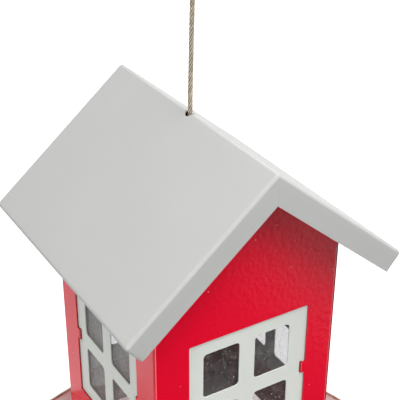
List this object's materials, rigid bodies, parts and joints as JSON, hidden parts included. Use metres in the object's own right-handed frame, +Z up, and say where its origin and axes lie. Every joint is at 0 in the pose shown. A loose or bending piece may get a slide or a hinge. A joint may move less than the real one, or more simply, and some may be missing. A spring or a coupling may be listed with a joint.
{
  "type": "hanging bird feeder",
  "caption": "Hanging sheet-metal bird feeder shaped like a house: lift-up gable roof on a wire rope, glazed windows, seed ports and a square swivelling tray.",
  "frame": {"origin": "the point that hangs: inside the top of the wire rope's loop", "axes": "+Z up along the rope, -Y out of the front gable, +X to the right of it"},
  "size_m": [0.2628, 0.2628, 0.4375],
  "materials": {
    "red_powder_coat": "gloss powder coat",
    "pale_powder_coat": "satin powder coat",
    "clear_acrylic": "clear, dusty",
    "rim_wire": "bright wire",
    "wire_rope": "stranded, dull",
    "zinc": "zinc plated",
    "aluminium": "pressed"
  },
  "bodies": {
    "house": {"front_left_wall": "red_powder_coat", "back_right_wall": "red_powder_coat", "window_frame_front": "pale_powder_coat", "window_frame_right": "pale_powder_coat", "window_frame_back": "pale_powder_coat", "window_frame_left": "pale_powder_coat", "window_glazing_front": "clear_acrylic", "window_glazing_right": "clear_acrylic", "window_glazing_back": "clear_acrylic", "window_glazing_left": "clear_acrylic", "rivet_front_right_1": "red_powder_coat", "rivet_front_right_2": "red_powder_coat", "rivet_front_right_3": "red_powder_coat", "rivet_front_right_4": "red_powder_coat", "rivet_back_left_1": "red_powder_coat", "rivet_back_left_2": "red_powder_coat", "rivet_back_left_3": "red_powder_coat", "rivet_back_left_4": "red_powder_coat", "base_strap": "zinc", "strap_rivet_front": "red_powder_coat", "strap_rivet_back": "red_powder_coat", "tray_washer": "zinc", "rope_stop": "aluminium", "wire_rope": "wire_rope", "hanging_loop": "wire_rope", "ferrule": "aluminium"},
    "roof": {"roof": "pale_powder_coat"},
    "tray": {"tray": "pale_powder_coat", "tray_rim_wire": "rim_wire"}
  },
  "joints": [
    {"name": "roof_lift", "type": "slide", "parent": "house", "child": "roof", "axis": [0, 0, 1], "range_m": [0, 0.085]},
    {"name": "tray_swivel", "type": "hinge", "parent": "house", "child": "tray", "pos_m": [-0.0024, -0.0045, -0.424], "axis": [0, 0, 1], "continuous": true}
  ]
}
